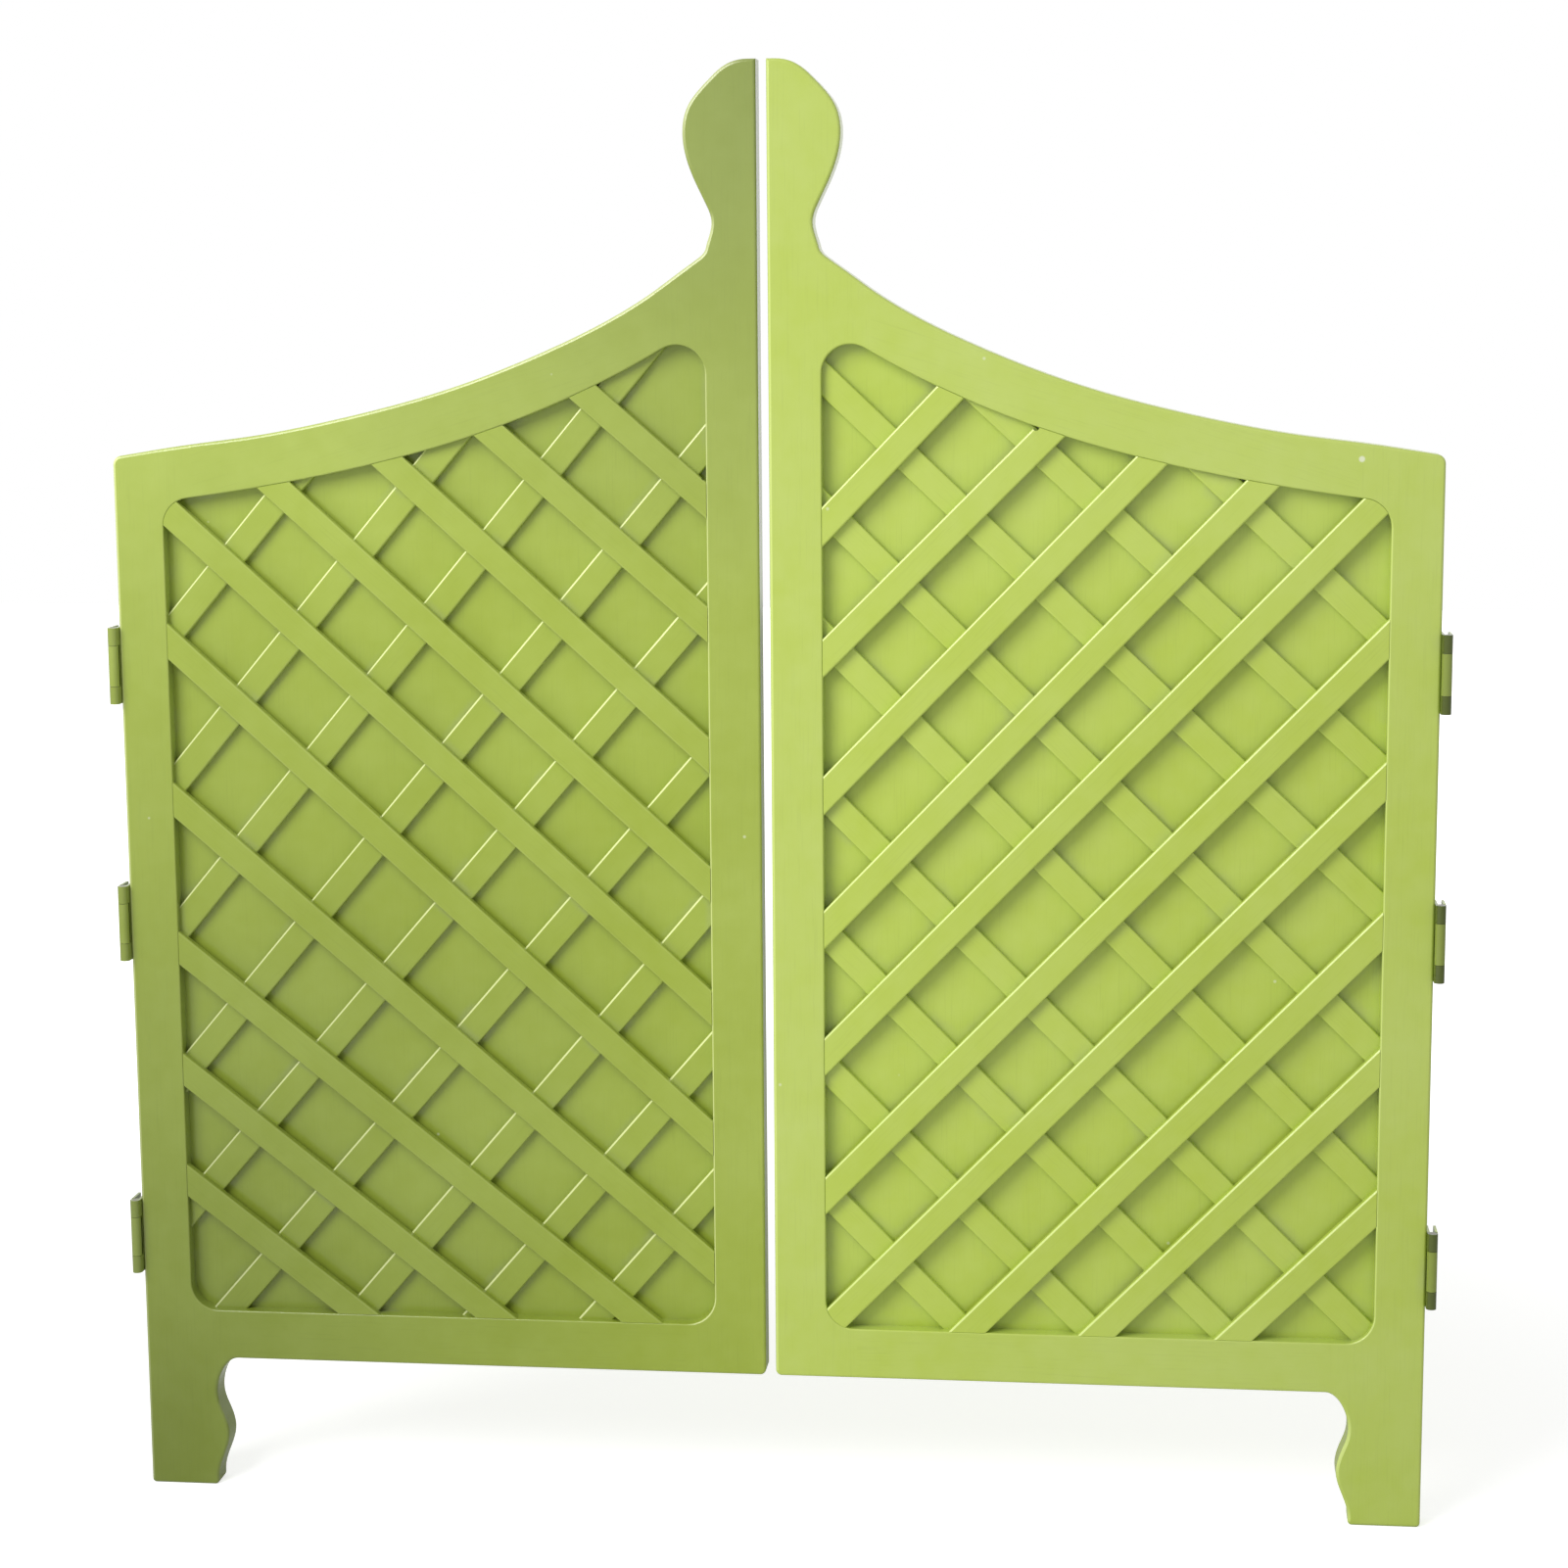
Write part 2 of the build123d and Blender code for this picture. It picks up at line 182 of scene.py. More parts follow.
# %% [markdown]
# ## Uneven coat
# Old gloss is never one colour: the film is thicker in places and has yellowed or chalked
# in patches. Two noises of different size are mixed, so that no patch has the same edge.
# A third, much finer one is handed on by itself, to vary how rough the surface is.
# %% Group: uneven coat
def uneven_coat_group():
    """Tone = mix of a noise a hand wide and a noise a finger wide, both around one half.

    Speckle = a noise of a few millimetres."""
    tree, given, result = new_group(
        "uneven coat", [("Patch", "NodeSocketFloat", 5.0)],
        [("Tone", "NodeSocketFloat"), ("Speckle", "NodeSocketFloat")])
    place = add_node(tree, "ShaderNodeTexCoord")
    wide = add_node(tree, "ShaderNodeTexNoise", {"Vector": place.outputs["Object"],
                                                 "Scale": given.outputs["Patch"], "Detail": 4.0})
    small = add_node(tree, "ShaderNodeTexNoise", {"Vector": place.outputs["Object"], "Scale": 42.0,
                                                  "Detail": 3.0})
    mixed = add_node(tree, "ShaderNodeMix", {"Factor": 0.35, "A": wide.outputs["Fac"],
                                             "B": small.outputs["Fac"]}, data_type="FLOAT")
    specks = add_node(tree, "ShaderNodeTexNoise", {"Vector": place.outputs["Object"], "Scale": 420.0,
                                                   "Detail": 1.0})
    tree.links.new(mixed.outputs["Result"], result.inputs["Tone"])
    tree.links.new(specks.outputs["Fac"], result.inputs["Speckle"])
    return tree


UNEVEN_COAT = uneven_coat_group()
print("group:", UNEVEN_COAT.name)


# %% [markdown]
# ## Painted shade and bloom in the corners
# Where a slat meets the panel or the frame, the corner is painted darker, a painted shade
# on top of the shadow the lamp casts. Just outside it the gloss has gone cloudy where a
# cloth can't reach. Ambient occlusion measures how closed in a point is, so one such
# measure serves both: its low end is the painted shade, its middle, broken by noise, the
# bloom.
# %% Group: corner shade and bloom
def corner_shade_and_bloom_group():
    """Painted Shade = low end of the openness within Reach metres; Bloom = its middle times a noise."""
    tree, given, result = new_group("corner shade and bloom", [("Reach", "NodeSocketFloat", 0.012)],
                                    [("Painted Shade", "NodeSocketFloat"), ("Bloom", "NodeSocketFloat")])
    closed = add_node(tree, "ShaderNodeAmbientOcclusion", {"Distance": given.outputs["Reach"]}, samples=3)
    painted_shade = add_node(tree, "ShaderNodeMapRange", {"Value": closed.outputs["AO"], "From Min": 0.7,
                                                 "From Max": 0.2})
    near = add_node(tree, "ShaderNodeMapRange", {"Value": closed.outputs["AO"], "From Min": 0.95,
                                                 "From Max": 0.6})
    place = add_node(tree, "ShaderNodeTexCoord")
    cloud = add_node(tree, "ShaderNodeTexNoise", {"Vector": place.outputs["Object"], "Scale": 16.0,
                                                  "Detail": 2.0})
    patch = add_node(tree, "ShaderNodeMapRange", {"Value": cloud.outputs["Fac"], "From Min": 0.52,
                                                  "From Max": 0.66})
    bloom = add_node(tree, "ShaderNodeMath", {0: near.outputs["Result"], 1: patch.outputs["Result"]},
                     operation="MULTIPLY")
    tree.links.new(painted_shade.outputs["Result"], result.inputs["Painted Shade"])
    tree.links.new(bloom.outputs["Value"], result.inputs["Bloom"])
    return tree


CORNER_SHADE_AND_BLOOM = corner_shade_and_bloom_group()
print("group:", CORNER_SHADE_AND_BLOOM.name)


# %% [markdown]
# ## Painted highlight on the arrises
# The front edges were eased before painting. An eased edge is called an arris. Where an
# arris faces the lamp, up and to the left, its colour is painted paler as a painted
# highlight, and the other arrises get only a trace of it. Such edges are often found by
# comparing a point with its surroundings. Here the surface's own direction is enough:
# its depth part is 1 on the faces, 0 on the sides, and in between only on the arrises,
# and the rest of it says which way the edge faces.
# %% Group: arris highlight
SIDE_RAMP = (0.08, 0.4)
FACE_RAMP = (0.998, 0.985)
LIT_RAMP = (0.6, 0.95)
LEAST_LIT = 0.06
# Toward the lamp: arrises facing this way get the full painted highlight.
UP_LEFT = (-0.85, 0, 0.53)


def arris_highlight_group():
    """Mask = a step up and one down again of |y| of the piece's own normal, times a step
    of the cosine between the rest of that normal and the direction Toward."""
    tree, given, result = new_group(
        "arris highlight",
        [("Side", "NodeSocketFloat", SIDE_RAMP[0]), ("Face", "NodeSocketFloat", FACE_RAMP[0]),
         ("Toward", "NodeSocketVector", UP_LEFT)],
        [("Mask", "NodeSocketFloat")])
    place = add_node(tree, "ShaderNodeTexCoord")
    parts = add_node(tree, "ShaderNodeSeparateXYZ", {"Vector": place.outputs["Normal"]})
    depth = add_node(tree, "ShaderNodeMath", {0: parts.outputs["Y"]}, operation="ABSOLUTE")
    from_side = add_node(tree, "ShaderNodeMapRange", {"Value": depth.outputs["Value"],
                                                      "From Min": given.outputs["Side"],
                                                      "From Max": SIDE_RAMP[1]})
    from_face = add_node(tree, "ShaderNodeMapRange", {"Value": depth.outputs["Value"],
                                                      "From Min": given.outputs["Face"],
                                                      "From Max": FACE_RAMP[1]})
    edge = add_node(tree, "ShaderNodeMath", {0: from_side.outputs["Result"],
                                             1: from_face.outputs["Result"]}, operation="MULTIPLY")
    flat = add_node(tree, "ShaderNodeVectorMath", {0: place.outputs["Normal"], 1: (1, 0, 1)},
                    operation="MULTIPLY")
    facing = add_node(tree, "ShaderNodeVectorMath", {0: flat.outputs["Vector"]}, operation="NORMALIZE")
    cosine = add_node(tree, "ShaderNodeVectorMath", {0: facing.outputs["Vector"],
                                                     1: given.outputs["Toward"]},
                      operation="DOT_PRODUCT")
    lit_side = add_node(tree, "ShaderNodeMapRange", {"Value": cosine.outputs["Value"],
                                                  "From Min": LIT_RAMP[0],
                                                  "From Max": LIT_RAMP[1], "To Min": LEAST_LIT})
    mask = add_node(tree, "ShaderNodeMath", {0: edge.outputs["Value"], 1: lit_side.outputs["Result"]},
                    operation="MULTIPLY")
    tree.links.new(mask.outputs["Value"], result.inputs["Mask"])
    return tree


ARRIS_HIGHLIGHT = arris_highlight_group()
print("group:", ARRIS_HIGHLIGHT.name)


# %% [markdown]
# ## Painted shade and light over the leaf
# A leaf is painted darker from two ends, the outer foot and the finial, as painted shade
# where less light fell on it. Each is a mask that falls with the distance from a point of
# the leaf. Distance is measured in a squeezed space, so that the dark runs further up
# than across, and a little noise keeps its border from being a circle. With other values
# the same group paints the top paler as painted light, paints shade round the hinge
# knuckles and makes a chip in the paint.
# %% Group: painted shade, light and chip
def shade_light_and_chip_group():
    """Mask = 1 within Core of the centre and 0 beyond Reach, with the distance
    measured as the length of (point - Centre) * Squeeze, plus a noise of Ragged metres."""
    tree, given, result = new_group(
        "painted shade, light and chip",
        [("Centre", "NodeSocketVector", (0, 0, 0)), ("Squeeze", "NodeSocketVector", (1.5, 0, 1)),
         ("Core", "NodeSocketFloat", 0.0), ("Reach", "NodeSocketFloat", 1.0),
         ("Ragged", "NodeSocketFloat", 0.16)],
        [("Mask", "NodeSocketFloat")])
    place = add_node(tree, "ShaderNodeTexCoord")
    away = add_node(tree, "ShaderNodeVectorMath", {0: place.outputs["Object"], 1: given.outputs["Centre"]},
                    operation="SUBTRACT")
    squeezed = add_node(tree, "ShaderNodeVectorMath", {0: away.outputs["Vector"],
                                                       1: given.outputs["Squeeze"]}, operation="MULTIPLY")
    distance = add_node(tree, "ShaderNodeVectorMath", {0: squeezed.outputs["Vector"]}, operation="LENGTH")
    cloud = add_node(tree, "ShaderNodeTexNoise", {"Vector": place.outputs["Object"], "Scale": 6.0,
                                                  "Detail": 1.0})
    centred = add_node(tree, "ShaderNodeMath", {0: cloud.outputs["Fac"], 1: 0.5}, operation="SUBTRACT")
    ragged = add_node(tree, "ShaderNodeMath", {0: centred.outputs["Value"], 1: given.outputs["Ragged"],
                                               2: distance.outputs["Value"]}, operation="MULTIPLY_ADD")
    mask = add_node(tree, "ShaderNodeMapRange", {"Value": ragged.outputs["Value"],
                                                 "From Min": given.outputs["Core"],
                                                 "From Max": given.outputs["Reach"], "To Min": 1.0,
                                                 "To Max": 0.0})
    tree.links.new(mask.outputs["Result"], result.inputs["Mask"])
    return tree


SHADE_LIGHT_AND_CHIP = shade_light_and_chip_group()
print("group:", SHADE_LIGHT_AND_CHIP.name)


# %% [markdown]
# ## Flecks
# Brush paint carries bits: a dried crumb of a paler coat here, a pinhole there. Cells of a
# Voronoi pattern each draw a random number, and only the few cells that draw a high one
# keep their dot, so the flecks are rare and never in rows.
# %% Group: flecks
def flecks_group():
    """Mask = 1 near a cell's own point, kept where the cell's random number passes Rarity."""
    tree, given, result = new_group(
        "flecks", [("Density", "NodeSocketFloat", 60.0), ("Rarity", "NodeSocketFloat", 0.99)],
        [("Mask", "NodeSocketFloat")])
    place = add_node(tree, "ShaderNodeTexCoord")
    cells = add_node(tree, "ShaderNodeTexVoronoi", {"Vector": place.outputs["Object"],
                                                    "Scale": given.outputs["Density"]})
    dot = add_node(tree, "ShaderNodeMapRange", {"Value": cells.outputs["Distance"], "From Min": 0.12,
                                                "From Max": 0.06})
    drawn = add_node(tree, "ShaderNodeSeparateColor", {"Color": cells.outputs["Color"]})
    kept = add_node(tree, "ShaderNodeMath", {0: drawn.outputs["Red"], 1: given.outputs["Rarity"]},
                    operation="GREATER_THAN")
    mask = add_node(tree, "ShaderNodeMath", {0: dot.outputs["Result"], 1: kept.outputs["Value"]},
                    operation="MULTIPLY")
    tree.links.new(mask.outputs["Value"], result.inputs["Mask"])
    return tree


FLECKS = flecks_group()
print("group:", FLECKS.name)


# %% [markdown]
# ## The green gloss
# One recipe serves every painted piece, wood or iron. It is built up step by step: a body
# colour with paler patches, thinned in the strokes, chalky in places, paler towards the
# top as painted light, paler on the arrises that face the lamp as a painted highlight,
# darker in the corners as painted shade, cloudy there too, flecked, and darker towards
# the foot and the finial as painted shade. Each step mixes one more mask into the colour.
# The Principled shader stays in the material, under a clear coat for the gloss skin, and
# the bump holds the strokes and the slow waves of planed wood.
# %% Painted materials
STROKE_SHARE, BLOOM_SHARE, FLECK_SHARE = 0.12, 0.35, 0.5


def colour(red, green, blue):
    """A colour written as it is seen, from 0 to 255, turned into the linear light Blender mixes."""
    seen = np.array((red, green, blue)) / 255
    linear = np.where(seen <= 0.04045, seen / 12.92, ((seen + 0.055) / 1.055) ** 2.4)
    return (*linear.tolist(), 1.0)


def worn(tree, under, over, mask, amount, blend="MIX"):
    """Colour socket: over laid on under where the mask says, by at most the given amount."""
    share = add_node(tree, "ShaderNodeMath", {0: mask, 1: amount}, operation="MULTIPLY")
    mixed = add_node(tree, "ShaderNodeMix", {"A": under, "B": over, "Factor": share.outputs["Value"]},
                     data_type="RGBA", blend_type=blend)
    return mixed.outputs["Result"]


def placed_group(tree, group, **values):
    """A node holding this group, with its named inputs set."""
    return add_node(tree, "ShaderNodeGroup", values, node_tree=group)


def gloss_paint(name, side, chalk_and_top_light=(0.1, 0.1), lean=0.0, fineness=700.0, bump=0.3, arris=1.0,
                spot=None):
    """Painted surface whose strokes run along X turned up by lean degrees in the leaf's plane.

    The chalk shares are those of the chalky patches and of the painted light that makes the
    top paler, and arris is the share of the painted highlight on the arrises. A spot is one
    place of another colour: its colour, its share and the mask's values."""
    look = PAINT[side]
    material = bpy.data.materials.new(name)
    material.use_nodes = True
    tree = material.node_tree
    shader = tree.nodes["Principled BSDF"]
    shader.inputs["Specular IOR Level"].default_value = 0.1
    shader.inputs["Coat Weight"].default_value = 1.0
    shader.inputs["Coat Roughness"].default_value = 0.2
    strokes = placed_group(tree, BRUSH_MARKS, Lean=(0, math.radians(lean), 0), Fineness=fineness)
    coat = placed_group(tree, UNEVEN_COAT)
    corners = placed_group(tree, CORNER_SHADE_AND_BLOOM, Reach=look["reach"])
    lit_arris = placed_group(tree, ARRIS_HIGHLIGHT)
    flecked = placed_group(tree, FLECKS)
    foot = placed_group(tree, SHADE_LIGHT_AND_CHIP, Centre=look["foot"], Reach=1.05)
    finial = placed_group(tree, SHADE_LIGHT_AND_CHIP, Centre=look["finial"], Squeeze=(0.8, 0, 1), Reach=0.5)
    top_light = placed_group(tree, SHADE_LIGHT_AND_CHIP, Centre=look["finial"], Squeeze=(0, 0, 1), Core=0.1, Reach=1.2)
    patch = add_node(tree, "ShaderNodeMapRange", {"Value": coat.outputs["Tone"], "From Min": 0.35,
                                                  "From Max": 0.68})
    thin = add_node(tree, "ShaderNodeMapRange", {"Value": strokes.outputs["Tone"], "From Min": 0.55,
                                                 "From Max": 0.8})
    film = worn(tree, look["body"], look["pale"], patch.outputs["Result"], 1.0)
    film = worn(tree, film, look["deep"], thin.outputs["Result"], STROKE_SHARE)
    film = worn(tree, film, look["chalk_and_top_light"], coat.outputs["Tone"], 2 * chalk_and_top_light[0])
    # Painted light: the leaf is painted paler towards the top.
    film = worn(tree, film, look["chalk_and_top_light"], top_light.outputs["Mask"], chalk_and_top_light[1])
    # Painted highlight: the arrises facing the lamp are painted paler.
    film = worn(tree, film, look["arris_highlight"], lit_arris.outputs["Mask"], arris)
    film = worn(tree, film, look["bloom"], corners.outputs["Bloom"], BLOOM_SHARE)
    # Painted shade: the corners are painted darker where the ambient occlusion is low.
    film = worn(tree, film, look["deep"], corners.outputs["Painted Shade"], look["painted_shade"])
    film = worn(tree, film, look["fleck"], flecked.outputs["Mask"], FLECK_SHARE)
    # Painted shade: darker towards the outer foot and towards the finial.
    film = worn(tree, film, look["soil"], foot.outputs["Mask"], look["foot_shade_share"],
                blend="MULTIPLY")
    film = worn(tree, film, look["soil"], finial.outputs["Mask"], look["finial_shade_share"],
                blend="MULTIPLY")
    if spot:
        place = placed_group(tree, SHADE_LIGHT_AND_CHIP, **spot["mask"])
        film = worn(tree, film, look[spot["colour"]], place.outputs["Mask"], spot["share"])
    tree.links.new(film, shader.inputs["Base Color"])
    rough = add_node(tree, "ShaderNodeMapRange", {"Value": coat.outputs["Speckle"], "From Min": 0.3,
                                                  "From Max": 0.7, "To Min": 0.38, "To Max": 0.52})
    tree.links.new(rough.outputs["Result"], shader.inputs["Roughness"])
    waves = add_node(tree, "ShaderNodeBump", {"Height": coat.outputs["Tone"], "Strength": 0.25,
                                              "Distance": 0.0015})
    ridges = add_node(tree, "ShaderNodeBump", {"Height": strokes.outputs["Height"], "Strength": bump,
                                               "Distance": 0.0003, "Normal": waves.outputs["Normal"]})
    tree.links.new(ridges.outputs["Normal"], shader.inputs["Normal"])
    return material


# One green serves both leaves. The left leaf's colours are written darker and the right leaf's lighter, as
# painted shade and painted light for how each leaf was lit. The palest colour of each is the painted
# highlight on the arrises, and the shares of the corners, the foot and the finial are shares of painted
# shade.
PAINT = {
    "left": {"body": colour(162, 181, 50), "deep": colour(102, 120, 26), "pale": colour(172, 191, 70),
             "foot_shade_share": 0.98, "finial_shade_share": 0.65, "painted_shade": 0.12, "reach": 0.008,
             "arris_highlight": colour(246, 255, 176)},
    "right": {"body": colour(190, 211, 70), "deep": colour(120, 139, 34), "pale": colour(198, 218, 90),
              "foot_shade_share": 0.1, "finial_shade_share": 0.12, "painted_shade": 0.36, "reach": 0.012,
              "arris_highlight": colour(234, 250, 152)},
}
for side, look in PAINT.items():
    stile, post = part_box(f"{side}_hinge_stile"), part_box(f"{side}_meeting_stile")
    look["foot"] = (stile[side == "right"].x, 0, FLOOR)
    look["finial"] = (post[side == "left"].x, 0, TOP)
    look["bloom"] = colour(176, 184, 140)
    look["fleck"] = colour(236, 242, 206)
    # This grey multiplies in the painted shade at the foot and the finial.
    look["soil"] = (0.43, 0.44, 0.5, 1.0)
    # This dark green is painted shade round the hinge knuckles.
    look["oil"] = colour(74, 86, 24)
    # This pale colour serves the chalky patches and the painted light at the top.
    look["chalk_and_top_light"] = colour(206, 216, 168)

STROKE_LEANS = {"hinge_stile": 90, "meeting_stile": 90, "top_rail": -17, "bottom_rail": 0,
                "back_panel": 90}
SLAT_LEANS = {"left": {"front_slats": -41, "rear_slats": 49.5},
              "right": {"front_slats": 46, "rear_slats": -44.5}}
# Shares of the chalky patches, and of the painted light that makes the top paler.
CHALK_AND_TOP_LIGHT = {("left", "frame"): (0.03, 0.14), ("left", "filling"): (0.02, 0.08),
         ("right", "frame"): (0.14, 0.06), ("right", "filling"): (0.06, 0.06)}
# Shares of the painted highlight on the arrises of the slats and of the other pieces.
SLAT_HIGHLIGHT, OTHER_HIGHLIGHT = 0.95, 0.7
CHIP = {"colour": "fleck", "share": 0.95,
        "mask": {"Centre": (MIDDLE + 0.567, FRONT, FLOOR + 1.053), "Squeeze": (1, 1, 1), "Core": 0.002,
                 "Reach": 0.0034, "Ragged": 0.001}}
SPOTS = {("right", "top_rail"): CHIP, ("right", "hinge_stile"): CHIP}
for side in SIDES:
    mirror = 1 if side == "right" else -1
    leans = {part: mirror * lean for part, lean in STROKE_LEANS.items()} | SLAT_LEANS[side]
    for part, lean in leans.items():
        place = "filling" if "slats" in part or "panel" in part else "frame"
        arris = SLAT_HIGHLIGHT if "slats" in part else OTHER_HIGHLIGHT
        paint = gloss_paint(f"{side} {part} paint", side, chalk_and_top_light=CHALK_AND_TOP_LIGHT[side, place], lean=lean,
                            arris=arris, spot=SPOTS.get((side, part)))
        node = nodes[f"{side}_{part}"]
        node.data.materials.clear()
        node.data.materials.append(paint)
print("painted wood pieces:", len(SIDES) * len(leans))


# %% [markdown]
# ## The hinge iron
# The butt hinges were brushed over with the same green. Only the pin's ends, which rub as
# the leaf swings, are bare steel, so the pins get a plain turned metal.
# %% Hinge finishes
def bare_steel(name):
    """Worn steel: two greys mixed by the uneven coat's tone, rougher where it is speckled."""
    material = bpy.data.materials.new(name)
    material.use_nodes = True
    tree = material.node_tree
    shader = tree.nodes["Principled BSDF"]
    shader.inputs["Metallic"].default_value = 1.0
    coat = placed_group(tree, UNEVEN_COAT)
    tint = add_node(tree, "ShaderNodeMix", {"A": colour(150, 150, 145), "B": colour(112, 104, 88),
                                            "Factor": coat.outputs["Tone"]}, data_type="RGBA")
    tree.links.new(tint.outputs["Result"], shader.inputs["Base Color"])
    rough = add_node(tree, "ShaderNodeMapRange", {"Value": coat.outputs["Speckle"], "To Min": 0.28,
                                                  "To Max": 0.5})
    tree.links.new(rough.outputs["Result"], shader.inputs["Roughness"])
    return material


PIN_STEEL = bare_steel("pin steel")
# Shares of the painted shade round the hinge knuckles, one for each plate.
KNUCKLE_SHADE_SHARES = {"left": {"door_plate": 0.25, "jamb_plate": 0.1},
         "right": {"door_plate": 0.95, "jamb_plate": 0.55}}
HINGE_PAINTS = {}
for side in SIDES:
    pin_low, pin_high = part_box(f"{side}_low_pin")
    axis = (*((pin_low + pin_high) / 2).xy, 0)
    knuckle = {"Centre": axis, "Squeeze": (1, 1, 0), "Core": 0.0056, "Reach": 0.009, "Ragged": 0.002}
    for part, share in KNUCKLE_SHADE_SHARES[side].items():
        # The plate is painted darker round the pin, as painted shade.
        oil = {"colour": "oil", "share": share, "mask": knuckle}
        HINGE_PAINTS[side, part] = gloss_paint(f"{side} {part} paint", side, lean=90, fineness=1100,
                                               bump=0.25, arris=0, spot=oil)
    for level in LEVELS:
        for part, finish in (("door_plate", HINGE_PAINTS[side, "door_plate"]),
                             ("jamb_plate", HINGE_PAINTS[side, "jamb_plate"]), ("pin", PIN_STEEL)):
            node = nodes[f"{side}_{level}_{part}"]
            node.data.materials.clear()
            node.data.materials.append(finish)
print("hinges:", len(SIDES) * len(LEVELS))

# %% [markdown]
# ## Screws in the door plates
# Each door plate is held to the stile's edge by two slotted screws, painted over with the
# rest. A screw head could be a cylinder with a cut, but a lathe profile with the slot
# pressed into it gives the soft shape that paint leaves.
# %% Screw heads
HEAD_RADIUS = 3.6 * MM
HEAD_RISE = 0.9 * MM
HEAD_RINGS, HEAD_SPOKES = 14, 40
SLOT_HALF = 0.55 * MM
SLOT_SOFTNESS = 0.12 * MM
SLOT_DEPTH = 0.7
SCREW_SPACING = 46 * MM
PLATE_THICKNESS = 2.5 * MM
LEVEL_TURN, SCREW_TURN = 0.7, 1.9


def screw_head(centre, outward, turn_angle):
    """Dome: rise = HEAD_RISE * (1 - r^2), pressed down where |across| < SLOT_HALF.

    r runs from near 0 at the middle to 1 at the rim, and the angle runs round the head.
    A fan of triangles closes the middle at the slot's floor."""
    r = np.linspace(0.02, 1, HEAD_RINGS)[:, None]
    angle = np.linspace(0, 2 * np.pi, HEAD_SPOKES, endpoint=False)[None, :]
    along, across = r * np.cos(angle) * HEAD_RADIUS, r * np.sin(angle) * HEAD_RADIUS
    slot = 1 / (1 + np.exp((np.abs(across) - SLOT_HALF) / SLOT_SOFTNESS))
    rise = HEAD_RISE * (1 - r ** 2) * (1 - SLOT_DEPTH * slot)
    turned_up = along * math.cos(turn_angle) - across * math.sin(turn_angle)
    turned_side = along * math.sin(turn_angle) + across * math.cos(turn_angle)
    points = np.stack([centre[0] + outward * rise, centre[1] + outward * turned_side,
                       centre[2] + turned_up], axis=-1).reshape(-1, 3)
    faces = grid_faces(HEAD_RINGS, HEAD_SPOKES, closed=True).tolist()
    middle = np.array([[centre[0] + outward * HEAD_RISE * 0.3, centre[1], centre[2]]])
    fan = [[len(points), (k + 1) % HEAD_SPOKES, k] for k in range(HEAD_SPOKES)]
    return np.vstack([points, middle]), faces + fan


for side in SIDES:
    outward = 1 if side == "right" else -1
    for index, level in enumerate(LEVELS):
        low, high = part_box(f"{side}_{level}_door_plate")
        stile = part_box(f"{side}_hinge_stile")
        face_x = stile[side == "right"].x + outward * PLATE_THICKNESS
        points, faces = [], []
        for step, offset in enumerate((-SCREW_SPACING / 2, SCREW_SPACING / 2)):
            centre = (face_x, 0.0, (low.z + high.z) / 2 + offset)
            head_points, head_faces = screw_head(centre, outward,
                                                 LEVEL_TURN * index + SCREW_TURN * step)
            faces += [[corner + sum(map(len, points)) for corner in face] for face in head_faces]
            points.append(head_points)
        screws = mesh_piece(f"{side}_{level}_screws", np.vstack(points), faces,
                            HINGE_PAINTS[side, "door_plate"])
        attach(screws, f"{side}_leaf")
print("screws:", 2 * len(SIDES) * len(LEVELS))

# %% [markdown]
# ## Pins round the panel
# The solid panel lies in a step cut round the back of the opening, and is held there by
# small pins driven through its border. Each head could be an object of its own, but one
# mesh per leaf is lighter: the heads are a dome repeated along a path that follows the
# panel's edge. The straight sides come from the panel's box, and the swept top from its
# own upper edge.
# %% Panel pins
PIN_RADIUS = 2.4 * MM
PIN_RISE = 0.9 * MM
PIN_RINGS, PIN_SPOKES = 5, 12
PIN_INSET = 4.5 * MM
PIN_SPACING = 85 * MM
CORNER_CLEAR = 30 * MM


def spread(start, end):
    """Evenly spaced numbers from start to end, about PIN_SPACING apart."""
    return np.linspace(start, end, round(abs(end - start) / PIN_SPACING) + 1)


def upper_edge(node, across):
    """Height of the piece's upper outline at each place across, read between its corners."""
    points = np.empty(len(node.data.vertices) * 3)
    node.data.vertices.foreach_get("co", points)
    points = points.reshape(-1, 3)
    points = points[np.argsort(points[:, 0])]
    middle = (points[:, 2].min() + points[:, 2].max()) / 2
    points = points[points[:, 2] > middle]
    return np.interp(across, points[:, 0], points[:, 2])


def pin_path(side):
    """Points along the panel's border, PIN_INSET inside its edge, on its rear face."""
    low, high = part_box(f"{side}_back_panel")
    panel = nodes[f"{side}_back_panel"]
    across = spread(low.x + CORNER_CLEAR, high.x - CORNER_CLEAR)
    top = upper_edge(panel, across) - PIN_INSET
    tall, short = (high.x, low.x) if side == "left" else (low.x, high.x)
    inward = -1 if side == "left" else 1
    shoulder = upper_edge(panel, [short - inward * CORNER_CLEAR])[0]
    tall_up = spread(low.z + CORNER_CLEAR, high.z - CORNER_CLEAR)
    short_up = spread(low.z + CORNER_CLEAR, shoulder - CORNER_CLEAR)
    x = np.concatenate([across, across, np.full(len(tall_up), tall + inward * PIN_INSET),
                        np.full(len(short_up), short - inward * PIN_INSET)])
    z = np.concatenate([top, np.full(len(across), low.z + PIN_INSET), tall_up, short_up])
    return np.stack([x, np.full(len(x), high.y), z], axis=-1)


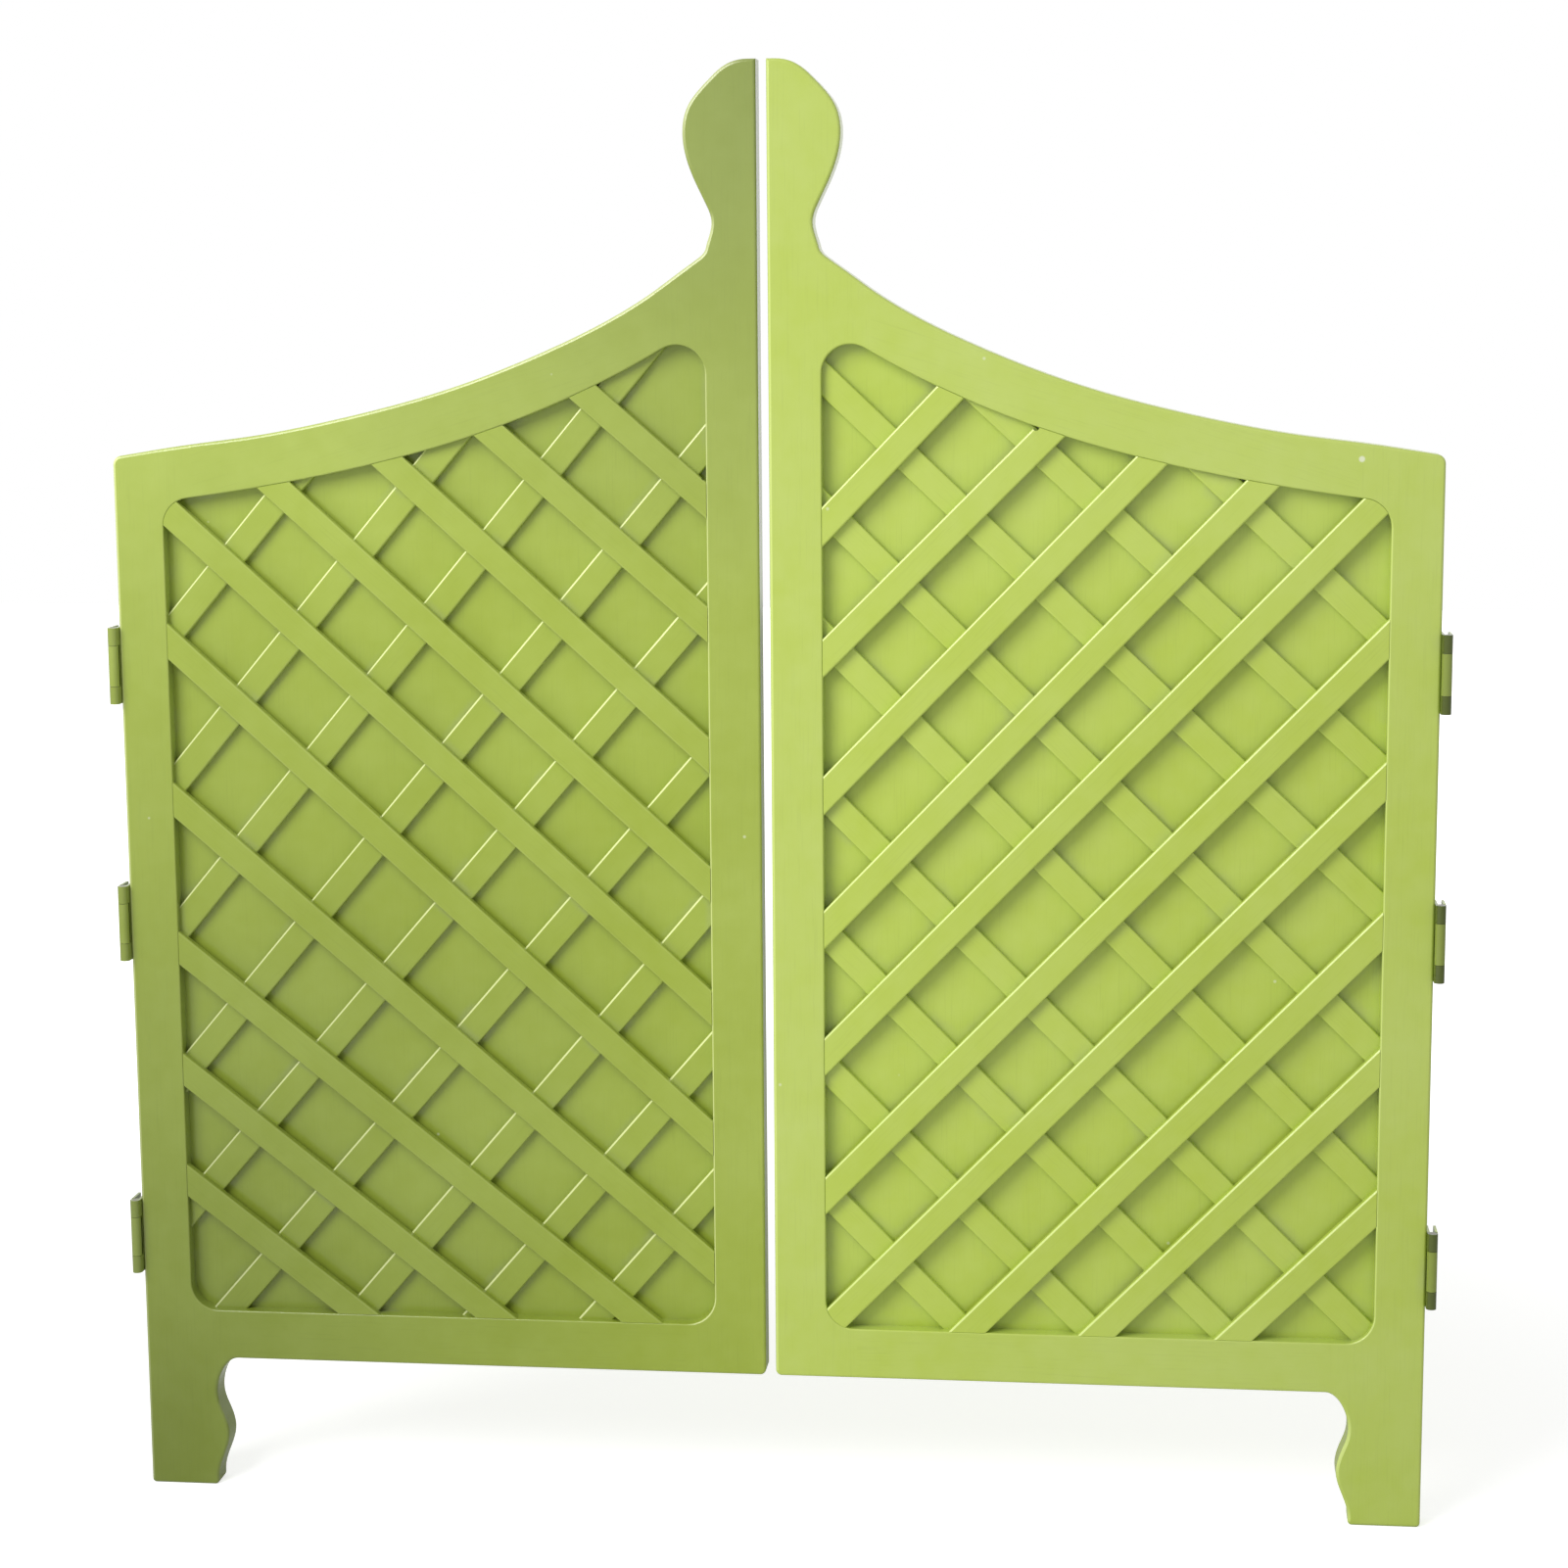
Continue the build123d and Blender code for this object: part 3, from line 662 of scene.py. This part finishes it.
def pin_heads(centres):
    """Domes: rise = PIN_RISE * (1 - r^4) over a disc of PIN_RADIUS, one copy at each centre."""
    r = np.linspace(1, 0.05, PIN_RINGS)[:, None]
    angle = np.linspace(0, 2 * np.pi, PIN_SPOKES, endpoint=False)[None, :]
    dome = np.stack([r * np.cos(angle) * PIN_RADIUS, PIN_RISE * (1 - r ** 4) + 0 * angle,
                     r * np.sin(angle) * PIN_RADIUS], axis=-1).reshape(-1, 3)
    dome = np.vstack([dome, [[0, PIN_RISE, 0]]])
    apex, last_ring = len(dome) - 1, (PIN_RINGS - 1) * PIN_SPOKES
    faces = [face[::-1] for face in grid_faces(PIN_RINGS, PIN_SPOKES, closed=True).tolist()]
    faces += [[apex, last_ring + (k + 1) % PIN_SPOKES, last_ring + k] for k in range(PIN_SPOKES)]
    points = (centres[:, None, :] + dome[None, :, :]).reshape(-1, 3)
    starts = range(0, len(points), len(dome))
    return points, [[start + corner for corner in face] for start in starts for face in faces]


for side in SIDES:
    centres = pin_path(side)
    points, faces = pin_heads(centres)
    panel_paint = nodes[f"{side}_back_panel"].data.materials[0]
    heads = mesh_piece(f"{side}_panel_pins", points, faces, panel_paint)
    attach(heads, f"{side}_leaf")
    print(side, "panel pins:", len(centres))

# %% [markdown]
# ## Floor, background and light
# The leaves stand on a plain pale floor before plain white, under one large soft lamp at
# the upper left and an even fill from the world. A photographer hangs a curved sheet to
# hide where floor and wall meet. Here the floor does it alone: what the camera sees of it
# grows to full white with distance, while near the legs it still shows their shadow.
# %% Floor
FLOOR_REACH = 9.0
SWEEP_START, SWEEP_END = 0.8, 2.4
NEAR_GLOW, FAR_GLOW = 0.62, 1.0


def floor_material():
    """Pale matt floor; for camera rays its glow grows with distance from the leaves."""
    material = bpy.data.materials.new("pale floor")
    material.use_nodes = True
    tree = material.node_tree
    shader = tree.nodes["Principled BSDF"]
    shader.inputs["Base Color"].default_value = (0.82, 0.82, 0.82, 1)
    shader.inputs["Roughness"].default_value = 0.9
    shader.inputs["Specular IOR Level"].default_value = 0.1
    shader.inputs["Emission Color"].default_value = (1, 1, 1, 1)
    place = add_node(tree, "ShaderNodeTexCoord")
    centred = add_node(tree, "ShaderNodeVectorMath", {0: place.outputs["Object"], 1: (MIDDLE, 0, FLOOR)},
                       operation="SUBTRACT")
    distance = add_node(tree, "ShaderNodeVectorMath", {0: centred.outputs["Vector"]}, operation="LENGTH")
    glow = add_node(tree, "ShaderNodeMapRange", {"Value": distance.outputs["Value"],
                                                 "From Min": SWEEP_START, "From Max": SWEEP_END,
                                                 "To Min": NEAR_GLOW, "To Max": FAR_GLOW},
                    interpolation_type="SMOOTHSTEP")
    path = add_node(tree, "ShaderNodeLightPath")
    seen = add_node(tree, "ShaderNodeMath", {0: path.outputs["Is Camera Ray"], 1: glow.outputs["Result"]},
                    operation="MULTIPLY")
    tree.links.new(seen.outputs["Value"], shader.inputs["Emission Strength"])
    return material


corner_x = np.array([-1, 1, 1, -1]) * FLOOR_REACH + MIDDLE
corner_y = np.array([-1, -1, 1, 1]) * FLOOR_REACH
floor_points = np.stack([corner_x, corner_y, np.full(4, FLOOR)], axis=-1)
floor = mesh_piece("floor", floor_points, [[0, 1, 2, 3]], floor_material(), smooth=False)

# %% World and lamp
AIM = Vector((MIDDLE, 0, (FLOOR + TOP) / 2))
LAMP_OFFSET = Vector((-1.80, -2.40, 2.05))
LAMP_SIZE = 2.4
LAMP_POWER = 92.0
FILL = 0.42
world = bpy.data.worlds.new("studio")
bpy.context.scene.world = world
world.use_nodes = True
sky = world.node_tree
path = add_node(sky, "ShaderNodeLightPath")
straight = add_node(sky, "ShaderNodeMath", {0: path.outputs["Is Camera Ray"],
                                            1: path.outputs["Is Glossy Ray"]}, operation="MAXIMUM")
through = add_node(sky, "ShaderNodeMath", {0: straight.outputs["Value"],
                                           1: path.outputs["Is Transmission Ray"]}, operation="MAXIMUM")
strength = add_node(sky, "ShaderNodeMapRange", {"Value": through.outputs["Value"], "To Min": FILL,
                                                "To Max": 1.0})
sky.nodes["Background"].inputs["Color"].default_value = (1, 1, 1, 1)
sky.links.new(strength.outputs["Result"], sky.nodes["Background"].inputs["Strength"])

lamp_data = bpy.data.lights.new("lamp", "AREA")
lamp_data.shape = "DISK"
lamp_data.size = LAMP_SIZE
lamp_data.energy = LAMP_POWER
lamp = bpy.data.objects.new("lamp", lamp_data)
lamp_turn = LAMP_OFFSET.to_track_quat("Z", "Y").to_matrix().to_4x4()
lamp.matrix_world = Matrix.Translation(AIM + LAMP_OFFSET) @ lamp_turn
bpy.context.scene.collection.objects.link(lamp)
bpy.context.scene.view_settings.view_transform = "Standard"
print("lamp at", tuple(round(v, 2) for v in lamp.matrix_world.translation))
